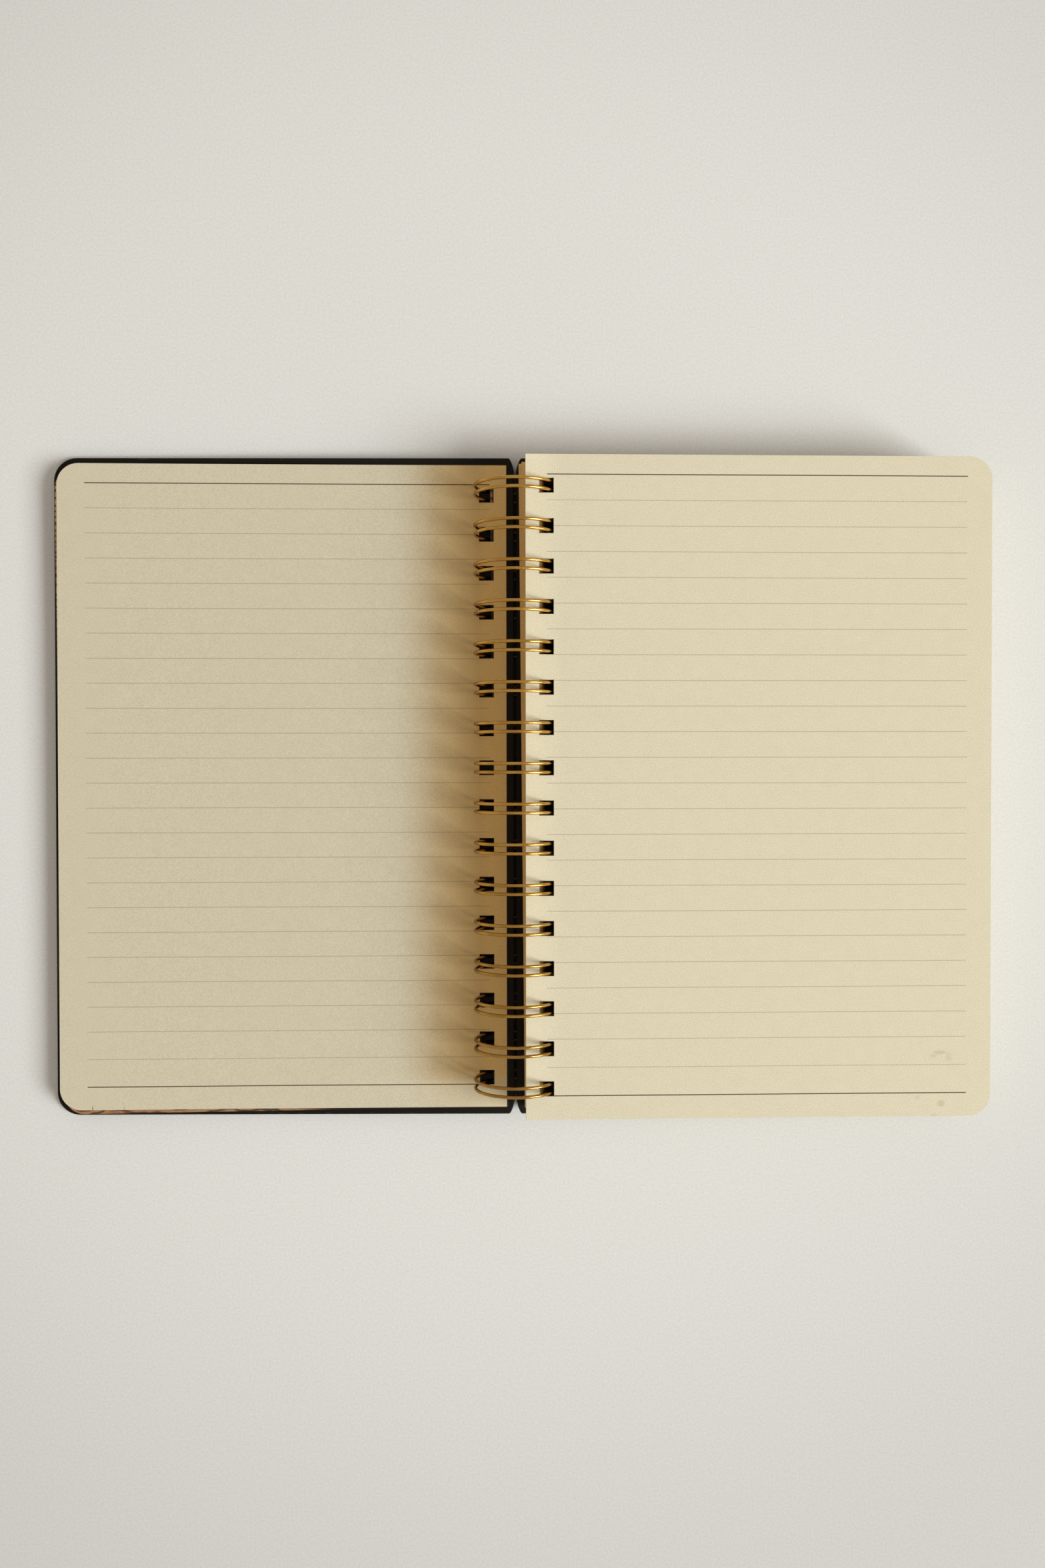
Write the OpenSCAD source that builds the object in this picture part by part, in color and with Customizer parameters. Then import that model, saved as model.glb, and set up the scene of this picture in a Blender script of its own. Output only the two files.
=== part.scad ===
// Spiral notebook lying open: two wrapped hard covers, a ruled page block, one turned
// leaf and one patterned endleaf, all carried on a single twin-loop binding wire.
// X runs across the open book, Y up the page, Z up from the table.
// The origin is on the table, under the middle of the notebook's bounding box.

/* [Pages] */
// Width of a page of the block
page_w = 148.4; // [120:0.1:180]
// Width of the turned leaf, which is trimmed a little narrower
leaf_w = 145.4; // [118:0.1:178]
// Width of the patterned endleaf behind the turned leaf
endleaf_w = 144.9; // [118:0.1:178]
// Height of every page
page_h = 210; // [200:1:240]
// Radius of the two fore-edge corners of a page
page_corner = 7; // [3:0.5:12]
// Thickness of each turned leaf
leaf_t = 0.15; // [0.1:0.01:0.2]
// Thickness of the page block, measured at the spine
block_t = 15.4; // [10:0.1:15.4]
// Number of bundles that the block fans into
block_layers = 18; // [14:1:20]
// Sag of the turned leaves between spine edge and fore-edge
leaf_sag = 0.4; // [0.1:0.1:0.6]
// Angle by which the endleaf has slipped askew on the rings
endleaf_skew = 0.5; // [0:0.1:0.6]

/* [Covers] */
// Width of a cover board, from spine edge to fore-edge
cover_w = 150; // [125:0.5:180]
// Distance that a cover stands out beyond the pages at head and foot
cover_square = 2.5; // [1:0.1:5]
// Thickness of a cover board with its wrap
board_t = 1.7; // [1.2:0.05:1.7]
// Radius of the two fore-edge corners of a cover
cover_corner = 7.5; // [3:0.5:12]
// Rounding of the wrapped board's edges
edge_round = 0.4; // [0.2:0.1:0.5]
// Gap between the two boards at the spine
board_gap = 0.7; // [0.4:0.1:2]
// Large radius that eases each spine corner
spine_ease_r = 9.5; // [6:0.5:12]
// Angle over which the spine corner is eased
spine_ease_angle = 30; // [10:5:40]
// Small radius at the tip of each spine corner
spine_tip_r = 0.8; // [0.4:0.1:2]
// Thickness of the lining glued inside each cover
lining_t = 0.1; // [0.06:0.02:0.12]
// Width of the wrap's border that the lining leaves bare
lining_border = 3; // [1:0.5:4]

/* [Punching] */
// Side of the square punched holes
hole = 4.8; // [4.6:0.1:5.2]
// Distance from a page's spine edge to its holes
page_hole_edge = 4.1; // [3:0.1:5]
// Distance from a cover's spine edge to its holes
cover_hole_edge = 6.6; // [6.4:0.05:6.7]

/* [Wire] */
// Number of double loops
loops = 16; // [8:1:16]
// Distance from one double loop to the next
pitch = 12.7; // [12:0.1:12.9]
// Thickness of the wire
wire_d = 1; // [0.8:0.05:1.1]
// Radius of a loop, measured to the middle of the wire
loop_r = 13.1; // [13.1:0.05:13.2]
// Distance between the two wires of a double loop
wire_pair = 2.75; // [2.2:0.05:3]
// Bending radius where a loop meets its base wire
base_bend = 1.1; // [0.8:0.1:1.4]
// Gap left between a loop's closed end and the base wire
closing_gap = 0.4; // [0.2:0.1:0.8]
// Length of the cut end of wire beyond the first and the last loop
wire_tail = 2; // [1:0.5:3]

/* [Fit] */
// Height of a cover's underside above the table at its spine edge
spine_lift = 3.4; // [3.4:0.05:3.5]
// Distance of the turned leaf's spine edge from the ring axis
leaf_inset = 2.9; // [2.5:0.1:3.2]
// Distance of the top page's spine edge from the ring axis
block_inset = 2.9; // [2.8:0.05:3]
// Radius of the curve along which the pages drift on the rings
drift_r = 14.2; // [14:0.1:14.6]
// Play left between pieces that lie on each other
seat_gap = 0.02; // [0.01:0.01:0.1]

/* [Hidden] */

wrap_colour = [0.09, 0.085, 0.08];
lining_colour = [0.12, 0.11, 0.10];
endleaf_colour = [0.62, 0.33, 0.14];
page_colour = [0.93, 0.88, 0.74];
leaf_colour = [0.88, 0.82, 0.68];
wire_colour = [0.78, 0.60, 0.28];

section_fn = 16;
loop_fn = 96;
bend_fn = 24;
leaf_steps = 24;

// The ring axis runs along Y and stands one outer loop radius above the table.
axis_z = loop_r + wire_d / 2;
lean = asin(spine_lift / (cover_w - edge_round));
lining_top = board_t + lining_t;
cover_h = page_h + 2 * cover_square;

// Seam of the wire: it lies in the gap between the back lining and the last page.
seam_room = wire_d + 0.2;
seam_guess = board_surface(loop_r * 0.8, lining_top) + seam_room / 2;
seam_x = sqrt(pow(loop_r, 2) - pow(axis_z - seam_guess, 2));
seam_z = board_surface(seam_x, lining_top) + seam_room / 2;
seam_angle = -asin((axis_z - seam_z) / loop_r);
base_angle = seam_angle - base_bend / loop_r * 180 / PI;
tip_angle = seam_angle + (wire_d + closing_gap + wire_pair / 2) / loop_r * 180 / PI;

// Block: its underside at the spine clears the seam, its fore-edge lies on the lining.
block_top = seam_z + seam_room / 2 + block_t;
block_foot = block_top - block_t;

function loop_y(i) = (i - (loops - 1) / 2) * pitch;
function bundle_z(i) = block_foot + block_t * (i + 0.5) / block_layers;
function drift_x(z) = sqrt(pow(drift_r, 2) - pow(z - axis_z, 2));
function drift(i) = drift_x(bundle_z(i)) - drift_x(bundle_z(block_layers - 1));
function board_surface(x, h) = spine_lift + h / cos(lean) - (x - board_gap / 2) * tan(lean);
function arc_points(centre, r, from, to, steps) =
    [for (i = [0:steps]) let (a = from + (to - from) * i / steps) centre + r * [cos(a), sin(a)]];

// The endleaf has turned on the rings about a point low down beside its spine edge.
leaf_foot = board_surface(leaf_inset, lining_top) + seat_gap;
skew_pivot = [-10, -2.5 * pitch];

// Bounding box of the open notebook, across X, before it is centred on the origin.
block_reach = block_inset + page_w + max([for (i = [0:block_layers - 1]) drift(i)]);
cover_reach = board_gap / 2 + cover_w * cos(lean) + board_t * sin(lean);
centre_x = (max(block_reach, cover_reach) - cover_reach) / 2;

module centred() { translate([-centre_x, 0, 0]) children(); }

// Half of a cover's outline above its middle line, with the eased spine corner.
function cover_half(w, h, r) =
    let (far = spine_ease_r - spine_tip_r,
         turn = 180 - spine_ease_angle,
         ease_y = h / 2 - spine_tip_r - far * sin(turn),
         ease = [spine_ease_r, ease_y],
         tip = ease + far * [cos(turn), sin(turn)])
    concat(arc_points(ease, spine_ease_r, 180, turn, 6),
           arc_points(tip, spine_tip_r, turn, 90, 4),
           arc_points([w - r, h / 2 - r], r, 90, 0, 10));

module cover_outline() {
    half = cover_half(cover_w, cover_h, cover_corner);
    mirrored = [for (i = [len(half) - 1:-1:0]) [half[i].x, -half[i].y]];
    polygon(concat(half, mirrored));
}

module page_outline(w) {
    r = page_corner;
    polygon(concat([[0, -page_h / 2]],
                   arc_points([w - r, r - page_h / 2], r, -90, 0, 10),
                   arc_points([w - r, page_h / 2 - r], r, 0, 90, 10),
                   [[0, page_h / 2]]));
}

module hole_row(edge) {
    for (i = [0:loops - 1]) translate([edge, loop_y(i) - hole / 2]) square(hole);
}

// Lays a flat sheet or board from its spine edge outwards, leaning down to the table.
module laid_right(h) {
    translate([board_gap / 2, 0, spine_lift]) rotate([0, lean, 0]) translate([0, 0, h]) children();
}

// One hard board in its wrap: the edge is rounded in steps and the holes go right through.
module cover_board() {
    difference() {
        hull() for (a = [0:30:90]) {
            rise = edge_round * (1 - sin(a));
            inset = edge_round * (1 - cos(a));
            translate([0, 0, rise]) linear_extrude(board_t - 2 * rise)
                offset(delta = -inset) cover_outline();
        }
        translate([0, 0, -1]) linear_extrude(board_t + 2) hole_row(cover_hole_edge);
    }
}

module lining_sheet() {
    linear_extrude(lining_t) difference() {
        translate([lining_border, -cover_h / 2 + lining_border])
            square([cover_w - 2 * lining_border, cover_h - 2 * lining_border]);
        hole_row(cover_hole_edge);
    }
}

module front_cover() {
    color(wrap_colour) mirror([1, 0, 0]) laid_right(0) cover_board();
}

module front_lining() {
    color(lining_colour) mirror([1, 0, 0]) laid_right(board_t) lining_sheet();
}

module back_lining() {
    color(lining_colour) laid_right(board_t) lining_sheet();
}

module back_cover() {
    color(wrap_colour) laid_right(0) cover_board();
}

// A leaf lying open: it stays level with its holes while the cover below it leans away.
module open_leaf(w, foot, skew) {
    curve = [for (i = [0:leaf_steps]) let (t = i / leaf_steps)
        [(leaf_w + 2) * t, foot - 4 * leaf_sag * t * (1 - t)]];
    lifted = [for (i = [leaf_steps:-1:0]) curve[i] + [0, leaf_t]];
    mirror([1, 0, 0]) translate([leaf_inset, 0, 0]) intersection() {
        translate([-1, 0, 0]) rotate([90, 0, 0])
            linear_extrude(page_h + 4, center = true) polygon(concat(curve, lifted));
        linear_extrude(axis_z) translate(skew_pivot) rotate(-skew) translate(-skew_pivot)
            difference() {
                page_outline(w);
                hole_row(page_hole_edge);
            }
    }
}

module patterned_endleaf() {
    color(endleaf_colour) open_leaf(endleaf_w, leaf_foot, endleaf_skew);
}

module turned_leaf() {
    color(leaf_colour) open_leaf(leaf_w, leaf_foot + leaf_t + seat_gap, 0);
}

// The page block fans into bundles. Each one drifts along the rings with its height.
// Beyond the holes the bundles open like a fan, from the leaning back cover, where the
// lowest page lies on the lining's outer edge, to the level top page.
module page_bundle(i) {
    low = block_foot + block_t * i / block_layers;
    high = low + block_t / block_layers;
    fold = page_hole_edge + hole;
    rest_x = board_gap / 2 + cover_w - lining_border;
    drop_max = block_foot - board_surface(rest_x, lining_top) - seat_gap;
    reach = page_w + 2 * drift_r;
    spread = (reach - fold) / (rest_x - block_inset - fold);
    fall_low = drop_max * (1 - i / block_layers) * spread;
    fall_high = drop_max * (1 - (i + 1) / block_layers) * spread;
    translate([block_inset, 0, 0]) intersection() {
        translate([drift(i), 0, 0]) linear_extrude(block_top + 1) difference() {
            page_outline(page_w);
            hole_row(page_hole_edge);
        }
        rotate([90, 0, 0]) linear_extrude(page_h + 2, center = true)
            polygon([[-drift_r, low], [fold, low], [reach, low - fall_low],
                     [reach, high - fall_high], [fold, high], [-drift_r, high]]);
    }
}

module page_block() {
    color(page_colour) for (i = [0:block_layers - 1]) page_bundle(i);
}

// Places a piece on the ring at an angle: X points outwards, Y along the ring.
module on_ring(angle, y) {
    translate([0, y, axis_z]) rotate([90, 0, 0]) rotate([0, 0, angle])
        translate([loop_r, 0, 0]) children();
}

// Part of a ring of wire that bends by sweep around the Z axis of its own plane.
module bent_wire(r, sweep, fn) {
    rotate_extrude(angle = sweep, $fn = fn) translate([r, 0]) circle(d = wire_d, $fn = section_fn);
}

// Nearly a full ring of wire: one half starts at the closed end of the double loop and
// the other at its base, and they overlap opposite the seam.
module loop_arc(y) {
    translate([0, y, axis_z]) rotate([90, 0, 0]) {
        rotate([0, 0, tip_angle]) bent_wire(loop_r, 180, loop_fn);
        rotate([0, 0, base_angle]) rotate([180, 0, 0]) bent_wire(loop_r, 180, loop_fn);
    }
}

// The closed end of a double loop: the wire turns back on itself.
module loop_tip(y) {
    on_ring(tip_angle, y) rotate([0, 90, 0]) rotate([0, 0, 180])
        bent_wire(wire_pair / 2, 180, bend_fn);
}

// Where a loop meets the seam it bends along the spine, up the page for side 1. A
// straight run of base wire follows.
module base_run(y, side, run) {
    on_ring(base_angle, y) rotate([0, side > 0 ? 0 : 180, 0]) {
        translate([0, 0, -base_bend]) rotate([0, -90, 0]) bent_wire(base_bend, 90, bend_fn);
        translate([0, base_bend, -base_bend - run]) cylinder(h = run, d = wire_d, $fn = section_fn);
    }
}

// One length of wire: each double loop runs from the seam right round the pages and back,
// and the base runs of neighbouring loops meet half-way.
module binding_wire() {
    half_run = (pitch - wire_pair) / 2 - base_bend;
    color(wire_colour) for (i = [0:loops - 1]) {
        for (side = [-1, 1]) {
            y = loop_y(i) + side * wire_pair / 2;
            outer = (i == 0 && side < 0) || (i == loops - 1 && side > 0);
            loop_arc(y);
            base_run(y, side, outer ? wire_tail : half_run);
        }
        loop_tip(loop_y(i));
    }
}

centred() front_cover();
centred() front_lining();
centred() patterned_endleaf();
centred() turned_leaf();
centred() page_block();
centred() back_lining();
centred() back_cover();
centred() binding_wire();
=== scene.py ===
import math
import random

import bpy
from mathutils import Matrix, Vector


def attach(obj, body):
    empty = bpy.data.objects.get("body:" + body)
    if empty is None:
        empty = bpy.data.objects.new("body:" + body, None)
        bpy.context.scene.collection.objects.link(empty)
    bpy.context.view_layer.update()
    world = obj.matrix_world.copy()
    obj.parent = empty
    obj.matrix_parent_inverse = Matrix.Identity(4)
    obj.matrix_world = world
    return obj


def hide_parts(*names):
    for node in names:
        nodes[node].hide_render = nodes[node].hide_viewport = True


# The open notebook comes in as its measured solids: two boards with their linings, an endleaf,
# a turned leaf, the page block and the binding wire, all in metres.
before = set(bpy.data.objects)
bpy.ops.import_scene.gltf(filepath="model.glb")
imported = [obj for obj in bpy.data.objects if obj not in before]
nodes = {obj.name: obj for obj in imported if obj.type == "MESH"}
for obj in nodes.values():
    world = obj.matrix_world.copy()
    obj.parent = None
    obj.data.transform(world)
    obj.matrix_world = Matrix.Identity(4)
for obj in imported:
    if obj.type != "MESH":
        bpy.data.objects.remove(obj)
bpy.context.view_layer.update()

# The viewpoint is almost straight above the spine, close to the book, so the wires and the
# page block lean away from the middle of the picture as they rise.
camera_place = (-0.011899, 0.006962, 0.432676)
camera_turn = (-0.01388, -0.02965, -0.00115)
bpy.ops.object.select_all(action="DESELECT")
bpy.ops.object.camera_add(location=camera_place, rotation=camera_turn)
camera = bpy.context.object
camera.name = "overhead_camera"
camera.data.sensor_fit = "AUTO"
camera.data.sensor_width = 36.0
camera.data.lens = 29.962
camera.data.dof.use_dof = False
bpy.context.scene.camera = camera

# One wide window of light stands low on the right and a little towards the foot of the page.
# The rest of the room is a plain pale fill.
window_side = 2.0
window_place = (3.56, -1.23, 2.46)
book_middle = Vector((0.0, 0.0, 0.01))
bpy.ops.object.light_add(type="AREA", location=window_place)
window_light = bpy.context.object
window_light.name = "window_light"
towards_book = book_middle - window_light.location
window_light.rotation_euler = towards_book.to_track_quat("-Z", "Y").to_euler()
window_light.data.shape = "RECTANGLE"
window_light.data.size = window_side
window_light.data.size_y = window_side
window_light.data.energy = 209.0
window_light.data.color = (0.93, 0.98, 1.0)

room = bpy.data.worlds.new("pale_room")
room.use_nodes = True
room.node_tree.nodes["Background"].inputs["Color"].default_value = (1.0, 0.91, 0.80, 1.0)
room.node_tree.nodes["Background"].inputs["Strength"].default_value = 0.43
bpy.context.scene.world = room
bpy.context.scene.view_settings.view_transform = "Standard"


# The table top is plain warm grey paper, matte and finely speckled, with a pool of light painted
# into its colour around the book. A soft dark shade is painted on it under the rings, where
# little light gets down between the boards, so that the punched holes and the spine gap stay
# dark. It doesn't show from below.
def new_material(name):
    material = bpy.data.materials.new(name)
    material.use_nodes = True
    return material, material.node_tree, material.node_tree.nodes["Principled BSDF"]


def add_node(tree, kind, **settings):
    node = tree.nodes.new(kind)
    for name, value in settings.items():
        setattr(node, name, value)
    return node


def plug(tree, source, socket):
    if isinstance(source, bpy.types.NodeSocket):
        tree.links.new(source, socket)
    elif source is not None:
        socket.default_value = source


def object_place(tree):
    return add_node(tree, "ShaderNodeTexCoord").outputs["Object"]


def axes_of(tree, vector):
    node = add_node(tree, "ShaderNodeSeparateXYZ")
    plug(tree, vector, node.inputs["Vector"])
    return node.outputs


def compute(tree, operation, first, second=None, third=None):
    node = add_node(tree, "ShaderNodeMath", operation=operation)
    for source, socket in zip((first, second, third), node.inputs):
        plug(tree, source, socket)
    return node.outputs["Value"]


def away_from(tree, value, middle=0.0):
    return compute(tree, "ABSOLUTE", compute(tree, "SUBTRACT", value, middle))


def where_all(tree, masks):
    overlap = masks[0]
    for mask in masks[1:]:
        overlap = compute(tree, "MULTIPLY", overlap, mask)
    return overlap


def noise(tree, place, scale, detail=2.0, roughness=0.5):
    node = add_node(tree, "ShaderNodeTexNoise")
    plug(tree, place, node.inputs["Vector"])
    node.inputs["Scale"].default_value = scale
    node.inputs["Detail"].default_value = detail
    node.inputs["Roughness"].default_value = roughness
    return node.outputs["Fac"]


def remap(tree, value, low, high, to_low=0.0, to_high=1.0):
    node = add_node(tree, "ShaderNodeMapRange", interpolation_type="SMOOTHSTEP")
    for name, source in (("Value", value), ("From Min", low), ("From Max", high)):
        plug(tree, source, node.inputs[name])
    node.inputs["To Min"].default_value = to_low
    node.inputs["To Max"].default_value = to_high
    return node.outputs["Result"]


def grey(tree, level):
    node = add_node(tree, "ShaderNodeCombineColor")
    for name in ("Red", "Green", "Blue"):
        plug(tree, level, node.inputs[name])
    return node.outputs["Color"]


def blend_colour(tree, amount, first, second, how="MIX"):
    node = add_node(tree, "ShaderNodeMix", data_type="RGBA", blend_type=how)
    plug(tree, amount, node.inputs[0])
    plug(tree, first, node.inputs[6])
    plug(tree, second, node.inputs[7])
    return node.outputs[2]


table_size = 6.0
painted_light_middle = (-0.02, 0.04, 0.0)
under_rings_x = -0.0075
bpy.ops.mesh.primitive_plane_add(size=table_size, location=(0.0, 0.0, 0.0))
table_top = bpy.context.object
table_top.name = "table_top"
table_paint, tree, shader = new_material("pale_table")
place = object_place(tree)
axes = axes_of(tree, place)
from_painted_light_middle = add_node(tree, "ShaderNodeVectorMath", operation="DISTANCE")
plug(tree, place, from_painted_light_middle.inputs[0])
from_painted_light_middle.inputs[1].default_value = painted_light_middle
# Painted light: the table colour is paler around the book and fades away from it.
painted_light_fade = remap(tree, from_painted_light_middle.outputs["Value"], 0.15, 0.36)
table_colour = blend_colour(tree, painted_light_fade, (0.80, 0.785, 0.755, 1.0), (0.66, 0.648, 0.622, 1.0))
# Painted shade: a soft near-black band on the table under the rings and the spine gap.
painted_shade_band = remap(tree, away_from(tree, axes["X"], under_rings_x), 0.0145, 0.0065, 0.0, 0.92)
within_boards = remap(tree, away_from(tree, axes["Y"]), 0.1066, 0.1018)
from_below = add_node(tree, "ShaderNodeNewGeometry").outputs["Backfacing"]
from_above = compute(tree, "SUBTRACT", 1.0, from_below)
shade = where_all(tree, [painted_shade_band, within_boards, from_above])
table_colour = blend_colour(tree, shade, table_colour, (0.03, 0.022, 0.015, 1.0))
speckle = remap(tree, noise(tree, place, 1400.0, 2.0, 0.6), 0.25, 0.75, 0.95, 1.05)
table_colour = blend_colour(tree, 1.0, table_colour, grey(tree, speckle), "MULTIPLY")
plug(tree, table_colour, shader.inputs["Base Color"])
shader.inputs["Roughness"].default_value = 0.9
shader.inputs["Specular IOR Level"].default_value = 0.2
table_top.data.materials.append(table_paint)


# The two boards are greyboard wrapped in thin black cloth-grained paper, turned in over the
# edges. The wrap is satin, rubs grey along the edges, and shows fine pits in its grain.
def bump(tree, height, distance, strength, shader):
    node = add_node(tree, "ShaderNodeBump")
    node.inputs["Distance"].default_value = distance
    node.inputs["Strength"].default_value = strength
    plug(tree, height, node.inputs["Height"])
    plug(tree, node.outputs["Normal"], shader.inputs["Normal"])


board_half_height = 0.1075
board_reach = 0.15035
ring_axis_x = -0.00155991
rub_width = 0.0009
wrap_dark = (0.0055, 0.0038, 0.0021, 1.0)
wrap_pale = (0.0130, 0.0094, 0.0060, 1.0)
wrap, tree, shader = new_material("black_wrap")
place = object_place(tree)
axes = axes_of(tree, place)
pits = add_node(tree, "ShaderNodeTexVoronoi", feature="SMOOTH_F1")
plug(tree, place, pits.inputs["Vector"])
pits.inputs["Scale"].default_value = 2400.0
pits.inputs["Smoothness"].default_value = 0.6
weave = noise(tree, place, 5200.0, 3.0)
grain = compute(tree, "MULTIPLY_ADD", weave, 0.5, pits.outputs["Distance"])
to_side = compute(tree, "SUBTRACT", board_half_height, away_from(tree, axes["Y"]))
to_fore = compute(tree, "SUBTRACT", board_reach, away_from(tree, axes["X"], ring_axis_x))
to_edge = compute(tree, "MINIMUM", to_side, to_fore)
rubbed_edge = remap(tree, to_edge, rub_width, 0.0)
patches = remap(tree, noise(tree, place, 260.0, 4.0, 0.7), 0.5, 0.7)
rub = compute(tree, "MULTIPLY", where_all(tree, [rubbed_edge, patches]), 0.3)
tone = blend_colour(tree, noise(tree, place, 30.0, 3.0), wrap_dark, wrap_pale)
worn = blend_colour(tree, rub, tone, (0.13, 0.11, 0.09, 1.0))
plug(tree, worn, shader.inputs["Base Color"])
plug(tree, remap(tree, grain, 0.2, 0.9, 0.66, 0.50), shader.inputs["Roughness"])
shader.inputs["Specular IOR Level"].default_value = 0.16
bump(tree, grain, 0.00008, 0.5, shader)
for name in ("front_cover", "back_cover"):
    nodes[name].material_slots[0].material = wrap


# Inside each board a sheet of thin black paper is pasted down, three millimetres in from the
# edges. It is matte, with the fibres of the paper just showing.
def paper_tooth():
    group = bpy.data.node_groups.new("paper_tooth", "ShaderNodeTree")
    group.interface.new_socket("Colour", in_out="INPUT", socket_type="NodeSocketColor")
    depth = group.interface.new_socket("Mottle", in_out="INPUT", socket_type="NodeSocketFloat")
    depth.default_value = 0.06
    group.interface.new_socket("Colour", in_out="OUTPUT", socket_type="NodeSocketColor")
    group.interface.new_socket("Tooth", in_out="OUTPUT", socket_type="NodeSocketFloat")
    given = add_node(group, "NodeGroupInput")
    result = add_node(group, "NodeGroupOutput")
    place = object_place(group)
    fibres = noise(group, place, 2600.0, 3.0, 0.7)
    cloud = noise(group, place, 240.0, 3.0, 0.6)
    both = compute(group, "MULTIPLY_ADD", cloud, 0.1, compute(group, "MULTIPLY", fibres, 0.9))
    centred = compute(group, "SUBTRACT", both, 0.5)
    shift = compute(group, "MULTIPLY", centred, given.outputs["Mottle"])
    level = compute(group, "MULTIPLY_ADD", shift, 5.0, 1.0)
    paper_colour = blend_colour(group, 1.0, given.outputs["Colour"], grey(group, level), "MULTIPLY")
    plug(group, paper_colour, result.inputs["Colour"])
    plug(group, fibres, result.inputs["Tooth"])
    return group


tooth_group = paper_tooth()
lining, tree, shader = new_material("black_lining")
tooth = add_node(tree, "ShaderNodeGroup", node_tree=tooth_group)
tooth.inputs["Colour"].default_value = (0.0055, 0.0042, 0.0027, 1.0)
tooth.inputs["Mottle"].default_value = 0.35
plug(tree, tooth.outputs["Colour"], shader.inputs["Base Color"])
shader.inputs["Roughness"].default_value = 0.82
shader.inputs["Specular IOR Level"].default_value = 0.13
bump(tree, tooth.outputs["Tooth"], 0.00004, 0.4, shader)
for name in ("front_lining", "back_lining"):
    nodes[name].material_slots[0].material = lining

# The endleaf is a loose sheet printed on both sides with combed marbling in orange, rust,
# brown and cream. Dark shade is painted on it beside the rings and along the part of the foot
# nearer the spine. It is punched with the pages and shows only along the turned leaf's edges.
painted_shade_width = 0.0115
painted_shade_taper = -0.045
ink_stops = [
    (0.20, (0.15, 0.065, 0.030, 1.0)),
    (0.40, (0.36, 0.155, 0.055, 1.0)),
    (0.72, (0.43, 0.21, 0.080, 1.0)),
    (0.88, (0.20, 0.105, 0.055, 1.0)),
]
marbling, tree, shader = new_material("marbled_endleaf")
place = object_place(tree)
axes = axes_of(tree, place)
swirl = add_node(tree, "ShaderNodeTexNoise")
plug(tree, place, swirl.inputs["Vector"])
swirl.inputs["Scale"].default_value = 60.0
swirl.inputs["Detail"].default_value = 3.0
pulled = add_node(tree, "ShaderNodeVectorMath", operation="MULTIPLY_ADD")
plug(tree, swirl.outputs["Color"], pulled.inputs[0])
pulled.inputs[1].default_value = (0.010, 0.007, 0.0)
plug(tree, place, pulled.inputs[2])
combed = add_node(tree, "ShaderNodeVectorMath", operation="MULTIPLY")
plug(tree, pulled.outputs["Vector"], combed.inputs[0])
combed.inputs[1].default_value = (0.3, 1.0, 1.0)
veins = add_node(tree, "ShaderNodeTexWave", wave_type="BANDS", bands_direction="Y")
plug(tree, combed.outputs["Vector"], veins.inputs["Vector"])
veins.inputs["Scale"].default_value = 150.0
veins.inputs["Distortion"].default_value = 7.0
veins.inputs["Detail"].default_value = 3.0
veins.inputs["Detail Scale"].default_value = 1.6
inks = add_node(tree, "ShaderNodeValToRGB")
plug(tree, veins.outputs["Fac"], inks.inputs["Fac"])
inks.color_ramp.elements[0].position = 0.0
inks.color_ramp.elements[0].color = (0.055, 0.045, 0.032, 1.0)
inks.color_ramp.elements[1].position = 1.0
inks.color_ramp.elements[1].color = (0.40, 0.27, 0.15, 1.0)
for position, colour in ink_stops:
    stop = inks.color_ramp.elements.new(position)
    stop.color = colour
# Painted shade: near black beside the rings, narrower towards the head, and along the foot near
# the spine.
from_rings = away_from(tree, axes["X"], ring_axis_x)
painted_shade_edge = compute(tree, "MULTIPLY_ADD", axes["Y"], painted_shade_taper, painted_shade_width)
in_painted_shade = remap(tree, compute(tree, "SUBTRACT", from_rings, painted_shade_edge), 0.0008, -0.0004)
at_foot = remap(tree, axes["Y"], -0.1022, -0.1032)
past_middle = remap(tree, axes["X"], -0.078, -0.060)
dark = compute(tree, "MAXIMUM", in_painted_shade, where_all(tree, [at_foot, past_middle]))
inks_and_painted_shade = blend_colour(tree, dark, inks.outputs["Color"], (0.020, 0.014, 0.010, 1.0))
tooth = add_node(tree, "ShaderNodeGroup", node_tree=tooth_group)
plug(tree, inks_and_painted_shade, tooth.inputs["Colour"])
tooth.inputs["Mottle"].default_value = 0.12
plug(tree, tooth.outputs["Colour"], shader.inputs["Base Color"])
shader.inputs["Roughness"].default_value = 0.7
shader.inputs["Specular IOR Level"].default_value = 0.3
bump(tree, tooth.outputs["Tooth"], 0.00003, 0.4, shader)
nodes["patterned_endleaf"].material_slots[0].material = marbling
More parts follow.
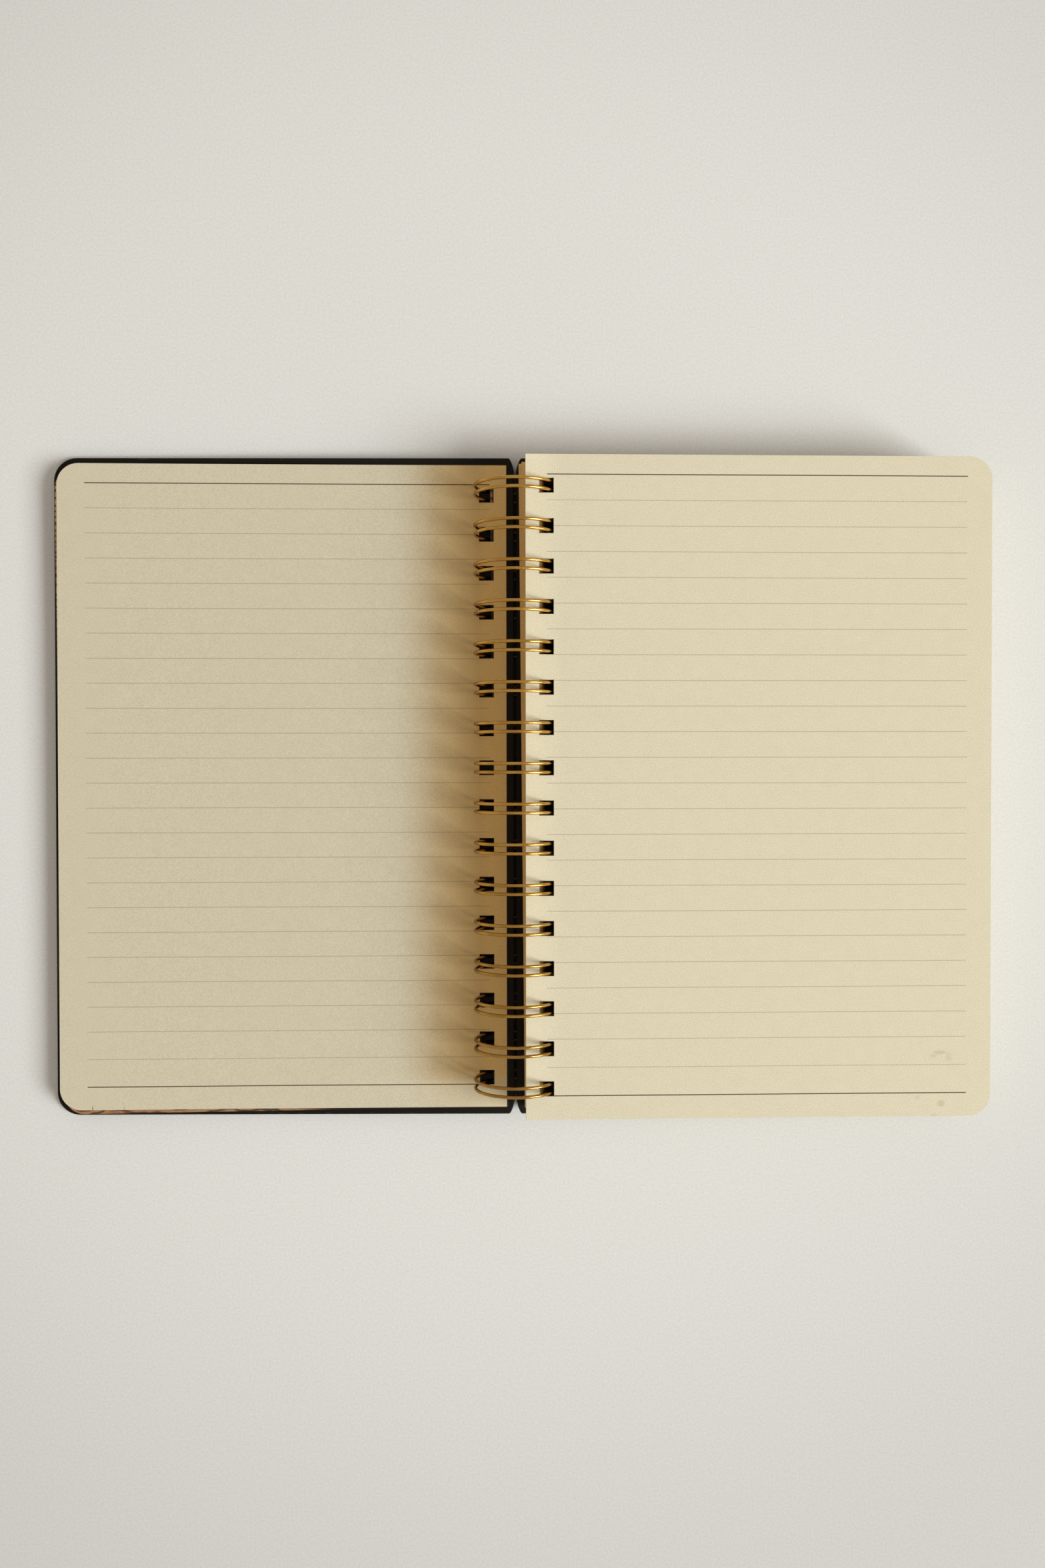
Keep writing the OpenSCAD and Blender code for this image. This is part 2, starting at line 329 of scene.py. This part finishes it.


# The turned leaf is one sheet of cream uncoated paper, ruled on both sides with brown ink: a
# solid rule at head and foot and rows of fine dots between. Its colour is painted darker than
# the pages' as shade. It hangs on the left of the rings; a warm shade is painted on it near
# them, with a painted lift of light just beside them. It has two small nicks in its foot edge.
def ruled_rows():
    head_rule = 0.0987
    row_step = 0.0081
    evenly_spaced_rows = 22.0
    last_row = -0.0885
    foot_rule = -0.0975
    dot_ink = 0.63
    group = bpy.data.node_groups.new("ruled_rows", "ShaderNodeTree")
    for name in ("Row Start", "Row End", "Rule Width", "Dot Size", "Dot Spacing"):
        group.interface.new_socket(name, in_out="INPUT", socket_type="NodeSocketFloat")
    group.interface.new_socket("Ink", in_out="OUTPUT", socket_type="NodeSocketFloat")
    given = add_node(group, "NodeGroupInput")
    result = add_node(group, "NodeGroupOutput")
    coordinates = add_node(group, "ShaderNodeTexCoord")
    axes = axes_of(group, coordinates.outputs["Object"])
    facing = axes_of(group, coordinates.outputs["Normal"])
    along = axes["X"]
    across = axes["Y"]

    row = compute(group, "DIVIDE", compute(group, "SUBTRACT", head_rule, across), row_step)
    row = compute(group, "MAXIMUM", compute(group, "ROUND", row), 1.0)
    row = compute(group, "MINIMUM", row, evenly_spaced_rows)
    row_place = compute(group, "SUBTRACT", head_rule, compute(group, "MULTIPLY", row, row_step))
    off_row = away_from(group, across, row_place)
    off_dotted = compute(group, "MINIMUM", off_row, away_from(group, across, last_row))
    step = compute(group, "DIVIDE", along, given.outputs["Dot Spacing"])
    beat = compute(group, "SUBTRACT", compute(group, "FRACT", step), 0.5)
    off_dot = compute(group, "MULTIPLY", beat, given.outputs["Dot Spacing"])
    off_dot_squared = compute(group, "POWER", off_dot, 2.0)
    off_row_squared = compute(group, "POWER", off_dotted, 2.0)
    reach = compute(group, "SQRT", compute(group, "ADD", off_dot_squared, off_row_squared))
    dot_radius = compute(group, "MULTIPLY", given.outputs["Dot Size"], 0.5)
    dots = compute(group, "LESS_THAN", reach, dot_radius)

    off_head = away_from(group, across, head_rule)
    off_foot = away_from(group, across, foot_rule)
    off_solid = compute(group, "MINIMUM", off_head, off_foot)
    half_rule = compute(group, "MULTIPLY", given.outputs["Rule Width"], 0.5)
    solid = compute(group, "LESS_THAN", off_solid, half_rule)

    printed = compute(group, "MAXIMUM", compute(group, "MULTIPLY", dots, dot_ink), solid)
    after = compute(group, "GREATER_THAN", along, given.outputs["Row Start"])
    before = compute(group, "LESS_THAN", along, given.outputs["Row End"])
    flat = compute(group, "GREATER_THAN", compute(group, "ABSOLUTE", facing["Z"]), 0.9)
    plug(group, where_all(group, [printed, after, before, flat]), result.inputs["Ink"])
    return group


def mark(tree, place, middle, half_size, depth):
    off = add_node(tree, "ShaderNodeVectorMath", operation="SUBTRACT")
    plug(tree, place, off.inputs[0])
    off.inputs[1].default_value = middle
    share = add_node(tree, "ShaderNodeVectorMath", operation="MULTIPLY")
    plug(tree, off.outputs["Vector"], share.inputs[0])
    share.inputs[1].default_value = [1.0 / size for size in half_size]
    reach = add_node(tree, "ShaderNodeVectorMath", operation="LENGTH")
    plug(tree, share.outputs["Vector"], reach.inputs[0])
    return remap(tree, reach.outputs["Value"], 1.0, 0.4, 0.0, depth)


def hole_shade(tree, axes, from_axis):
    past_spine = compute(tree, "GREATER_THAN", axes["X"], 0.0)
    inner_side = remap(tree, from_axis, 0.0064, 0.0069)
    outer_side = remap(tree, from_axis, 0.0150, 0.0140)
    within_row = remap(tree, away_from(tree, axes["Y"]), 0.1012, 0.1002)
    under_top_sheet = remap(tree, axes["Z"], 0.0214, 0.0202)
    return where_all(tree, [past_spine, inner_side, outer_side, within_row, under_top_sheet])


rules_group = ruled_rows()


def ruled_paper(name, stock, row_start, row_end, painted_light_bands, marks):
    paper, tree, shader = new_material(name)
    place = object_place(tree)
    axes = axes_of(tree, place)
    tooth = add_node(tree, "ShaderNodeGroup", node_tree=tooth_group)
    tooth.inputs["Colour"].default_value = stock
    tooth.inputs["Mottle"].default_value = 0.15

    from_axis = away_from(tree, axes["X"], ring_axis_x)
    short_of_foot = remap(tree, axes["Y"], -0.1005, -0.0925, 0.2, 1.0)
    paper_colour = tooth.outputs["Colour"]
    # Painted light and shade: each band tints the paper near the rings, below its ceiling, less
    # at the foot.
    for far, near, ceiling, tint in painted_light_bands:
        below = compute(tree, "LESS_THAN", axes["Z"], ceiling)
        near_rings = remap(tree, from_axis, far, near)
        painted_light_mask = where_all(tree, [near_rings, below, short_of_foot])
        paper_colour = blend_colour(tree, painted_light_mask, paper_colour, tint, "MULTIPLY")
    # Painted shade inside the punched holes of the sheets under the top page.
    painted_hole_shade = hole_shade(tree, axes, from_axis)
    paper_colour = blend_colour(tree, painted_hole_shade, paper_colour, (0.36, 0.23, 0.11, 1.0), "MULTIPLY")

    rules = add_node(tree, "ShaderNodeGroup", node_tree=rules_group)
    rules.inputs["Row Start"].default_value = row_start
    rules.inputs["Row End"].default_value = row_end
    rules.inputs["Rule Width"].default_value = 0.00033
    rules.inputs["Dot Size"].default_value = 0.00030
    rules.inputs["Dot Spacing"].default_value = 0.000565
    strength = compute(tree, "MULTIPLY", rules.outputs["Ink"], 0.93)
    printed = blend_colour(tree, strength, paper_colour, (0.052, 0.026, 0.011, 1.0))
    for middle, half_size, depth in marks:
        marked = mark(tree, place, middle, half_size, depth)
        printed = blend_colour(tree, marked, printed, (0.42, 0.28, 0.16, 1.0), "MULTIPLY")
    plug(tree, printed, shader.inputs["Base Color"])
    shader.inputs["Roughness"].default_value = 0.86
    shader.inputs["Specular IOR Level"].default_value = 0.25
    bump(tree, tooth.outputs["Tooth"], 0.00004, 0.5, shader)
    return paper


# Painted shade: the leaf is the pages' paper with its colour painted darker.
leaf_stock_painted_darker = (0.665, 0.594, 0.432, 1.0)
leaf_row_start = -0.14096
leaf_row_end = -0.00996
# Painted light and shade near the rings: a warm painted shade over the gutter, a painted lift
# beside them.
painted_gutter_light = [
    (0.041, 0.016, 0.02, (0.90, 0.70, 0.42, 1.0)),
    (0.017, 0.008, 0.02, (1.36, 1.36, 1.25, 1.0)),
]
leaf_nicks = [
    ((-0.1394, -0.1052, 0.004), (0.00022, 0.0024, 0.1), 1.0),
    ((-0.1292, -0.1052, 0.004), (0.00018, 0.0018, 0.1), 0.7),
]
leaf_paper = ruled_paper(
    "cream_leaf_paper", leaf_stock_painted_darker, leaf_row_start, leaf_row_end, painted_gutter_light, leaf_nicks
)
nodes["turned_leaf"].material_slots[0].material = leaf_paper

# The page block is a hundred and fifty loose sheets of the same paper, cut together and
# punched with sixteen square holes. They ride the rings, so they drift outwards with the
# ring's curve and fan from the leaning back cover up to the level top page.
ring_axis_z = 0.0136
page_width = 0.1484
page_height = 0.210
page_corner = 0.007
hole_side = 0.0048
hole_inset = 0.0041
loop_count = 16
loop_pitch = 0.0127
block_inset = 0.0029
block_foot = 0.0061727
block_thickness = 0.0154
drift_radius = 0.0142
bundle_count = 18
rest_reach = 0.14735
rest_height = 0.0019
sheet_count = 150
sheet_thickness = 0.000086
fold = 0.0094


def select_where(piece, test):
    bpy.ops.object.mode_set(mode="EDIT")
    bpy.ops.mesh.select_mode(type="VERT")
    bpy.ops.mesh.select_all(action="DESELECT")
    bpy.ops.object.mode_set(mode="OBJECT")
    for vertex in piece.data.vertices:
        vertex.select = test(vertex.co)
    bpy.ops.object.mode_set(mode="EDIT")


def finish_transform(piece):
    bpy.ops.object.select_all(action="DESELECT")
    piece.select_set(True)
    bpy.context.view_layer.objects.active = piece
    bpy.ops.object.transform_apply(location=True, rotation=True, scale=True)


spine_edge = ring_axis_x + block_inset
page_middle = spine_edge + page_width / 2
bpy.ops.object.select_all(action="DESELECT")
bpy.ops.mesh.primitive_plane_add(size=1.0, location=(page_middle, 0.0, 0.0))
sheet = bpy.context.object
sheet.scale = (page_width, page_height, 1.0)
finish_transform(sheet)
select_where(sheet, lambda co: co.x > page_middle)
bpy.ops.mesh.bevel(
    offset=page_corner, offset_type="OFFSET", affect="VERTICES", segments=8, profile=0.5
)
bpy.ops.mesh.select_all(action="SELECT")
bpy.ops.mesh.extrude_region_move(TRANSFORM_OT_translate={"value": (0.0, 0.0, sheet_thickness)})
bpy.ops.mesh.select_all(action="SELECT")
bpy.ops.mesh.normals_make_consistent(inside=False)
bpy.ops.object.mode_set(mode="OBJECT")

first_hole = -(loop_count - 1) / 2 * loop_pitch
hole_middle = spine_edge + hole_inset + hole_side / 2
bpy.ops.object.select_all(action="DESELECT")
bpy.ops.mesh.primitive_cube_add(size=hole_side, location=(hole_middle, first_hole, 0.0))
punch = bpy.context.object
row_of_punches = punch.modifiers.new("row", "ARRAY")
row_of_punches.count = loop_count
row_of_punches.use_relative_offset = False
row_of_punches.use_constant_offset = True
row_of_punches.constant_offset_displace = (0.0, loop_pitch, 0.0)
bpy.ops.object.modifier_apply(modifier="row")
bpy.ops.object.select_all(action="DESELECT")
sheet.select_set(True)
bpy.context.view_layer.objects.active = sheet
holes = sheet.modifiers.new("holes", "BOOLEAN")
holes.operation = "DIFFERENCE"
holes.solver = "EXACT"
holes.object = punch
bpy.ops.object.modifier_apply(modifier="holes")
bpy.data.objects.remove(punch)
bpy.ops.object.mode_set(mode="EDIT")
bpy.ops.mesh.select_all(action="SELECT")
bpy.ops.mesh.bisect(plane_co=(spine_edge + fold, 0.0, 0.0), plane_no=(1.0, 0.0, 0.0))
bpy.ops.object.mode_set(mode="OBJECT")

# The sheets drift as the solid block's eighteen bundles do, of which the top one stays put. The
# lowest weren't knocked up with the rest: their spine edges stray out to the left towards the
# head, in two steps. Each sheet but the top one is also a hair out of line.
lowest_share = 0.10
lower_share = 0.27
lowest_stray = 0.0017
lower_stray = 0.0009
step_up = block_thickness / sheet_count
lift = step_up - sheet_thickness
undrifted_height = block_foot + block_thickness * (bundle_count - 0.5) / bundle_count
undrifted = math.sqrt(drift_radius ** 2 - (undrifted_height - ring_axis_z) ** 2)
full_drop = block_foot - rest_height
fanned_reach = rest_reach + ring_axis_x - spine_edge - fold
hand = random.Random(7)
stack = [sheet]
for number in range(1, sheet_count):
    copy = bpy.data.objects.new("page", sheet.data.copy())
    bpy.context.scene.collection.objects.link(copy)
    stack.append(copy)
for number, page in enumerate(stack):
    share = number / sheet_count
    low = block_foot + block_thickness * share
    off_axis = low + step_up / 2 - ring_axis_z
    drift = max(math.sqrt(drift_radius ** 2 - off_axis ** 2) - undrifted, 0.0)
    top_sheet = number == sheet_count - 1
    aside = 0.0 if top_sheet else hand.uniform(-0.00009, 0.00005)
    along = 0.0 if top_sheet else hand.uniform(-0.00007, 0.00007)
    if share < lowest_share:
        stray = lowest_stray - hand.uniform(0.0, 0.00012)
    elif share < lower_share:
        stray = lower_stray - hand.uniform(0.0, 0.0001)
    else:
        stray = -drift
    for vertex in page.data.vertices:
        beyond = max(vertex.co.x + drift - spine_edge - fold, 0.0)
        fall = beyond / fanned_reach * full_drop * (1.0 - share)
        towards_head = 0.5 + vertex.co.y / page_height
        if vertex.co.x < spine_edge + 0.0001:
            vertex.co.x -= towards_head * (stray + drift)
        vertex.co.x += drift + aside
        vertex.co.y += along
        vertex.co.z += low + lift - fall
bpy.ops.object.select_all(action="DESELECT")
for page in stack:
    page.select_set(True)
bpy.context.view_layer.objects.active = sheet
bpy.ops.object.join()
page_stack = bpy.context.object
page_stack.name = "page_stack"

# The top page has faint thumb smudges near its foot corner. The sheets under it have shade
# painted at the spine edge, and painted light makes all of them a little paler near the rings.
page_stock = (0.765, 0.690, 0.500, 1.0)
page_row_start = 0.0081
page_row_end = 0.1419
# Painted shade at the spine edge of the lower sheets, and painted light near the rings on all of
# them.
painted_spine_light = [
    (0.0070, 0.0038, 0.0205, (0.98, 0.76, 0.44, 1.0)),
    (0.016, 0.005, 1.0, (1.13, 1.13, 1.13, 1.0)),
]
thumb_smudges = [
    ((0.1334, -0.0846, 0.0216), (0.0030, 0.0009, 0.0003), 0.22),
    ((0.1313, -0.0857, 0.0216), (0.0017, 0.0008, 0.0003), 0.14),
    ((0.1363, -0.0861, 0.0216), (0.0014, 0.0019, 0.0003), 0.14),
    ((0.1339, -0.1010, 0.0216), (0.0018, 0.0015, 0.0003), 0.22),
    ((0.1263, -0.0990, 0.0216), (0.0012, 0.0012, 0.0003), 0.12),
    ((0.1316, -0.1048, 0.0216), (0.0015, 0.0006, 0.0003), 0.16),
]
page_paper = ruled_paper(
    "cream_page_paper", page_stock, page_row_start, page_row_end, painted_spine_light, thumb_smudges
)
page_stack.data.materials.append(page_paper)
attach(page_stack, "back_half")
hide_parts("page_block")

# The binding is one length of gold-coloured wire about a millimetre thick. It runs up the spine
# and throws sixteen double loops: each goes round the pages, turns back on itself and returns.
wire_radius = 0.00053
wire_sides = 12
loop_radius = 0.0131
pair_gap = 0.00275
base_bend = 0.0011
tail = 0.002
base_angle = math.radians(-42.60)
tip_angle = math.radians(-25.65)
corner_steps = 8
loop_steps = 88
tip_steps = 14
sweep = math.tau + base_angle - tip_angle
half_pair = pair_gap / 2
half_run = (loop_pitch - pair_gap) / 2 - base_bend
ring_axis = Vector((ring_axis_x, 0.0, ring_axis_z))
base_out = Vector((math.cos(base_angle), 0.0, math.sin(base_angle)))
base_on = Vector((-math.sin(base_angle), 0.0, math.cos(base_angle)))
tip_out = Vector((math.cos(tip_angle), 0.0, math.sin(tip_angle)))
up_page = Vector((0.0, 1.0, 0.0))
base_place = ring_axis + base_out * loop_radius
tip_place = ring_axis + tip_out * loop_radius
run_start = base_place + base_on * base_bend - up_page * loop_pitch / 2
first_corner = base_place - up_page * (half_pair + base_bend)
last_corner = base_place + up_page * (half_pair + base_bend)


def bend_wire(centre, axis, angle, steps):
    bpy.ops.mesh.spin(
        steps=steps,
        angle=-angle,
        center=centre,
        axis=axis,
        dupli=False,
        use_auto_merge=False,
        use_normal_flip=False,
    )


bpy.ops.object.select_all(action="DESELECT")
bpy.ops.mesh.primitive_circle_add(
    vertices=wire_sides, radius=wire_radius, location=run_start, rotation=(math.pi / 2, 0.0, 0.0)
)
wire = bpy.context.object
finish_transform(wire)
bpy.ops.object.mode_set(mode="EDIT")
bpy.ops.mesh.select_all(action="SELECT")
bpy.ops.mesh.extrude_region_move(TRANSFORM_OT_translate={"value": up_page * half_run})
bend_wire(first_corner, -base_out, math.pi / 2, corner_steps)
bend_wire(ring_axis, up_page, sweep, loop_steps)
bend_wire(tip_place, tip_out, math.pi, tip_steps)
bend_wire(ring_axis, -up_page, sweep, loop_steps)
bend_wire(last_corner, -base_out, math.pi / 2, corner_steps)
bpy.ops.mesh.extrude_region_move(TRANSFORM_OT_translate={"value": up_page * half_run})
bpy.ops.object.mode_set(mode="OBJECT")

# The loops are joined end to end along the base wire, and both ends of the wire are cut off
# short and closed.
loops = []
for number in range(loop_count):
    copy = bpy.data.objects.new("loop", wire.data.copy())
    bpy.context.scene.collection.objects.link(copy)
    for vertex in copy.data.vertices:
        vertex.co.y += (number - (loop_count - 1) / 2) * loop_pitch
    loops.append(copy)
bpy.data.objects.remove(wire)
bpy.ops.object.select_all(action="DESELECT")
for copy in loops:
    copy.select_set(True)
bpy.context.view_layer.objects.active = loops[0]
bpy.ops.object.join()
twin_wire = bpy.context.object
twin_wire.name = "twin_loop_wire"
wire_end = loop_count * loop_pitch / 2
cut = wire_end - (half_run - tail)
for vertex in twin_wire.data.vertices:
    if abs(vertex.co.y) > wire_end - 0.0001:
        vertex.co.y = math.copysign(cut, vertex.co.y)
bpy.ops.object.mode_set(mode="EDIT")
bpy.ops.mesh.select_all(action="SELECT")
bpy.ops.mesh.remove_doubles(threshold=0.00002)
bpy.ops.mesh.select_all(action="DESELECT")
bpy.ops.mesh.select_non_manifold(
    extend=False,
    use_wire=False,
    use_boundary=True,
    use_multi_face=False,
    use_non_contiguous=False,
    use_verts=False,
)
bpy.ops.mesh.edge_face_add()
bpy.ops.mesh.select_all(action="SELECT")
bpy.ops.mesh.normals_make_consistent(inside=False)
bpy.ops.object.mode_set(mode="OBJECT")
bpy.ops.object.shade_smooth_by_angle(angle=math.radians(40.0))

# The gilding is a little uneven from handling. Its colour is painted darker at the wire's rims
# and towards the foot as painted reflection of dark surroundings, and inside the holes as
# painted shade, where there is only the dark of the book for it to mirror.
gilt_deep = (0.62, 0.34, 0.070, 1.0)
gilt_bright = (0.78, 0.46, 0.115, 1.0)
gold, tree, shader = new_material("gold_wire")
place = object_place(tree)
axes = axes_of(tree, place)
handled = noise(tree, place, 160.0, 3.0, 0.6)
gilt = blend_colour(tree, remap(tree, handled, 0.3, 0.7), gilt_deep, gilt_bright)
# Painted reflection: the rims are darkened as if mirroring dark surroundings.
rim = add_node(tree, "ShaderNodeLayerWeight")
rim.inputs["Blend"].default_value = 0.5
painted_rim_darkening = remap(tree, rim.outputs["Facing"], 0.45, 0.95, 0.0, 0.8)
gilt = blend_colour(tree, painted_rim_darkening, gilt, (0.16, 0.080, 0.020, 1.0))
# Painted darkening towards the foot, standing in for dark surroundings mirrored there.
painted_foot_darkening = remap(tree, axes["Y"], 0.02, -0.10, 0.0, 0.5)
gilt = blend_colour(tree, painted_foot_darkening, gilt, (0.35, 0.30, 0.24, 1.0), "MULTIPLY")
# Painted shade inside the holes: below the leaf, and under the top page right of the spine.
in_leaf_holes = remap(tree, axes["Z"], 0.0085, 0.0036, 0.0, 0.96)
under_top_page = remap(tree, axes["Z"], 0.0229, 0.0212, 0.0, 0.92)
past_spine = compute(tree, "GREATER_THAN", axes["X"], 0.0)
in_page_holes = where_all(tree, [under_top_page, past_spine])
painted_hole_shade = compute(tree, "MAXIMUM", in_leaf_holes, in_page_holes)
gilt = blend_colour(tree, painted_hole_shade, gilt, (0.06, 0.034, 0.012, 1.0))
plug(tree, gilt, shader.inputs["Base Color"])
plug(tree, remap(tree, handled, 0.3, 0.75, 0.20, 0.30), shader.inputs["Roughness"])
shader.inputs["Metallic"].default_value = 1.0
bump(tree, noise(tree, place, 2500.0, 2.0), 0.00001, 0.35, shader)
twin_wire.data.materials.append(gold)
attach(twin_wire, "back_half")
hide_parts("binding_wire")
